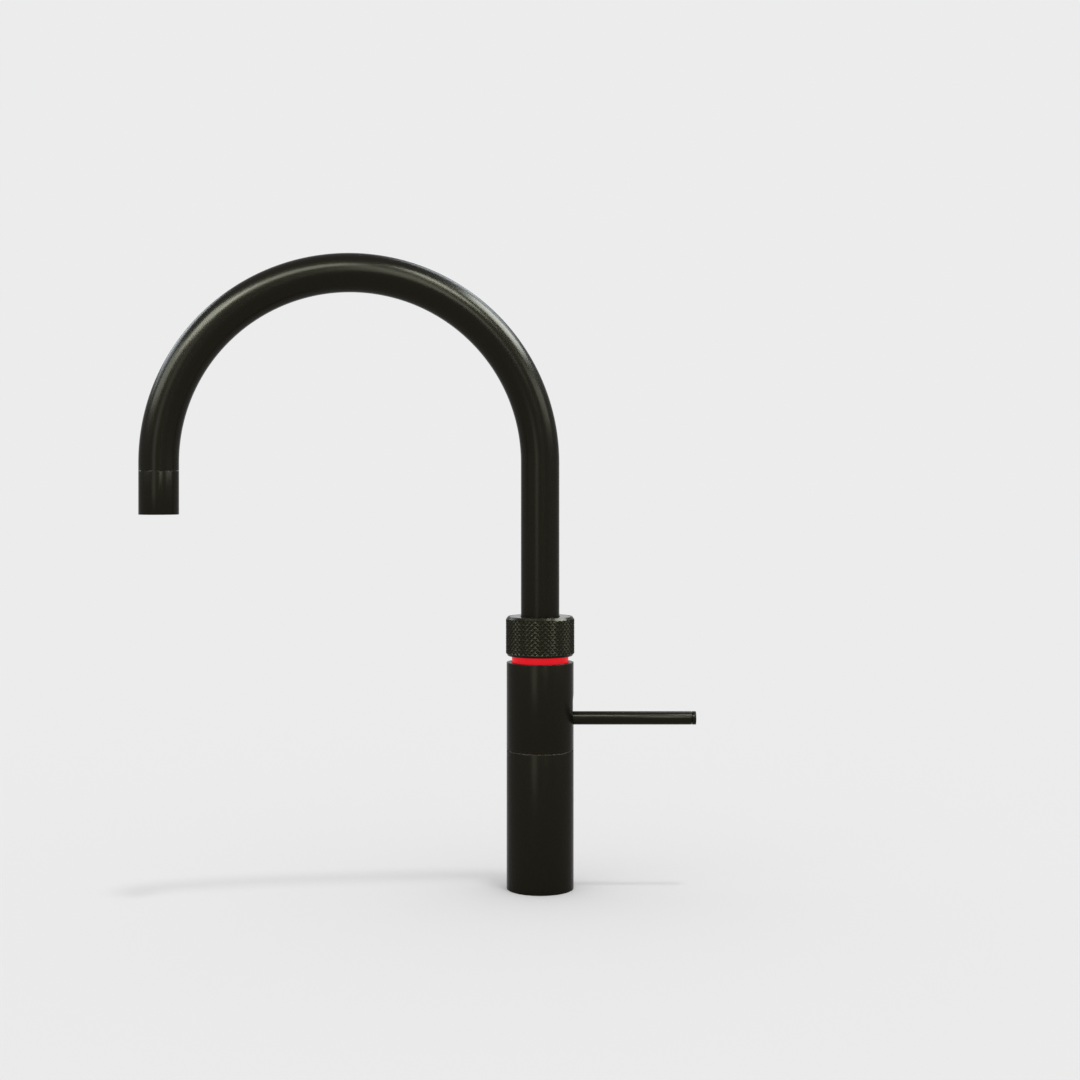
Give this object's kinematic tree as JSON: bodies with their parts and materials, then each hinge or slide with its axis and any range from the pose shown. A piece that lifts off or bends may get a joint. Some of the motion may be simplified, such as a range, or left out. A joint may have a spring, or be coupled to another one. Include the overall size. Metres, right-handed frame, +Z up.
{
  "type": "boiling water tap",
  "caption": "Single-hole kitchen mixer tap with a round swan-neck spout, a side lever, and a knurled push-and-turn ring with a red light ring for boiling water.",
  "frame": {"origin": "middle of the body's seating face on the worktop, over the middle of the tap hole", "axes": "+Z up along the body, +X along the lever at rest, -Y towards the user; the spout reaches towards -X, swung 9.7 degrees towards the user"},
  "size_m": [0.307, 0.0704, 0.409],
  "materials": {
    "satin_black": "satin powder coat",
    "knurled_black": "satin, knurled",
    "red_lens": "lit translucent",
    "brass": "turned",
    "steel": "plain",
    "rubber": "matte",
    "ceramic": "lapped ceramic",
    "white_polymer": "moulded",
    "grey_polymer": "moulded",
    "board_green": "solder mask"
  },
  "bodies": {
    "tap_body": {"lower_body": "satin_black", "base_seal": "rubber", "mounting_shank": "brass", "clamp_gasket": "rubber", "clamp_washer": "steel", "clamp_nut": "brass", "cold_inlet": "brass", "hot_inlet": "brass", "boiling_inlet": "brass", "core_body": "brass", "cartridge_housing": "grey_polymer", "cartridge_fixed_disc": "ceramic", "cartridge_nut": "brass", "sleeve_glide_ring": "white_polymer", "led_board": "board_green", "light_ring": "red_lens", "spring_seat": "steel", "return_spring": "steel", "ring_circlip": "steel", "spout_slip_washer": "white_polymer"},
    "mixer": {"mixer_sleeve": "satin_black", "stem_guide": "white_polymer", "pivot_pin": "steel"},
    "lever": {"lever_rod": "satin_black", "lever_end_cap": "satin_black", "lever_spindle": "steel", "lever_set_screw": "steel"},
    "mixing_disc": {"cartridge_moving_disc": "ceramic"},
    "press_carrier": {"thrust_washer": "steel"},
    "boiling_ring": {"knurled_ring": "knurled_black", "knob_cap": "satin_black", "sensor_magnet": "steel"},
    "spout": {"spout_tube": "satin_black", "spout_ferrule": "brass", "ferrule_o_ring_lower": "rubber", "ferrule_o_ring_upper": "rubber", "spout_snap_ring": "steel", "inner_boiling_tube": "white_polymer", "outlet_bush": "brass", "aerator_sleeve": "satin_black", "aerator_insert": "grey_polymer", "aerator_washer": "rubber"}
  },
  "joints": [
    {"name": "spout_swivel", "type": "hinge", "parent": "tap_body", "child": "spout", "pos_m": [0, 0, 0.149], "axis": [0, 0, 1], "continuous": true},
    {"name": "mixer_turn", "type": "hinge", "parent": "tap_body", "child": "mixer", "pos_m": [0, 0, 0.08], "axis": [0, 0, 1], "range_deg": [-45, 45]},
    {"name": "lever_tilt", "type": "hinge", "parent": "mixer", "child": "lever", "pos_m": [0, 0, 0.08], "axis": [0, -1, 0], "range_deg": [0, 22]},
    {"name": "disc_slide", "type": "slide", "parent": "mixer", "child": "mixing_disc", "axis": [1, 0, 0], "range_m": [0, 0.0042]},
    {"name": "boil_press", "type": "slide", "parent": "tap_body", "child": "press_carrier", "axis": [0, 0, -1], "range_m": [0, 0.003], "stiffness_N_per_m": 1500, "springref_m": -0.003, "deforming": ["return_spring"]},
    {"name": "boil_turn", "type": "hinge", "parent": "press_carrier", "child": "boiling_ring", "pos_m": [0, 0, 0.143], "axis": [0, 0, 1], "range_deg": [0, 60]}
  ],
  "couplings": [
    {"joint": "disc_slide", "follows": "lever_tilt", "m_per_rad": 0.010732}
  ]
}
